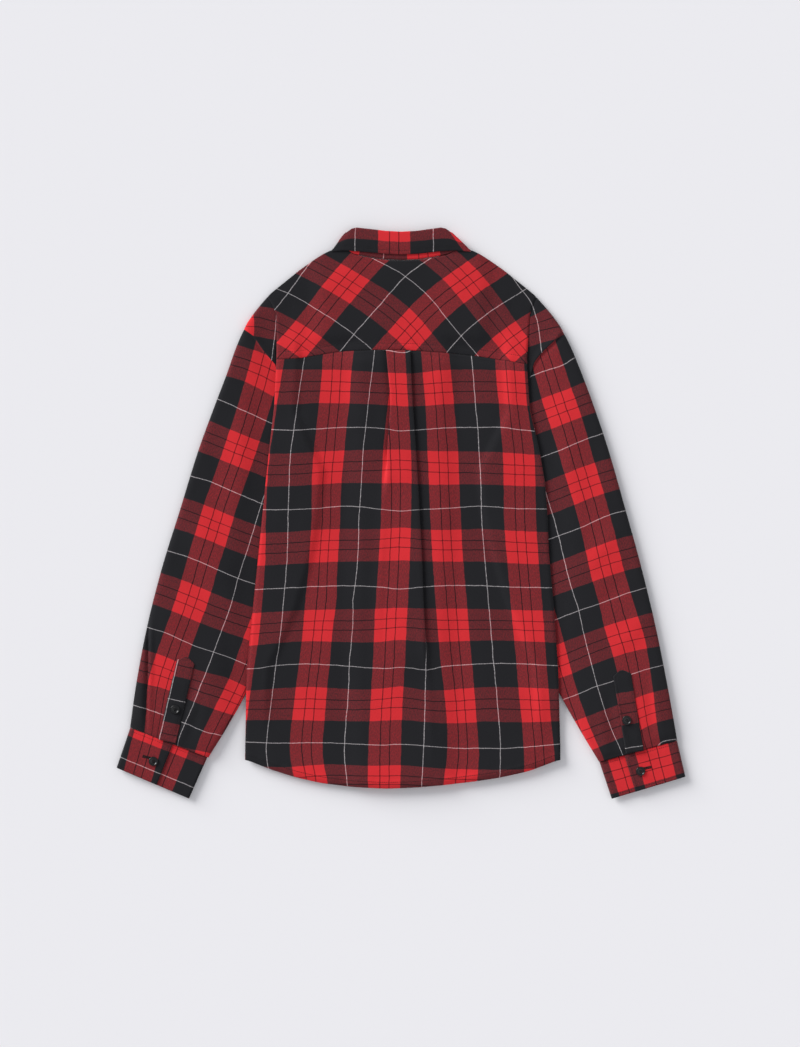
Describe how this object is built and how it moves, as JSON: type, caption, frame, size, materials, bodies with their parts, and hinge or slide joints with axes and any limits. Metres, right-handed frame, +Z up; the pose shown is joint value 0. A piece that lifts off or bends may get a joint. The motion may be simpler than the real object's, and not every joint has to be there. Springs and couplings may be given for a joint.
{
  "type": "flannel shirt",
  "caption": "Long-sleeved checked flannel shirt with yoke, box pleat, buttoned cuffs and turn-down collar, laid flat back up.",
  "frame": {"origin": "middle of the shirt's box, on the surface it lies on", "axes": "+Z up from the surface, out of the back of the shirt; +Y from hem to collar; the wearer's left is at -X"},
  "size_m": [0.797, 0.7952, 0.01],
  "materials": {
    "flannel": "brushed check in red and black with a thin pale line",
    "button": "polished black"
  },
  "bodies": {
    "root": {"back": "flannel", "yoke": "flannel", "front_left": "flannel", "front_right": "flannel", "collar_stand": "flannel", "collar": "flannel", "sleeve_left": "flannel", "sleeve_right": "flannel", "cuff_left": "flannel", "cuff_right": "flannel", "sleeve_placket_left": "flannel", "sleeve_placket_right": "flannel", "button_stand": "button", "button_front_1": "button", "button_front_2": "button", "button_front_3": "button", "button_front_4": "button", "button_front_5": "button", "button_front_6": "button", "button_front_7": "button", "button_placket_left": "button", "button_placket_right": "button", "button_cuff_left": "button", "button_cuff_right": "button"}
  },
  "joints": []
}
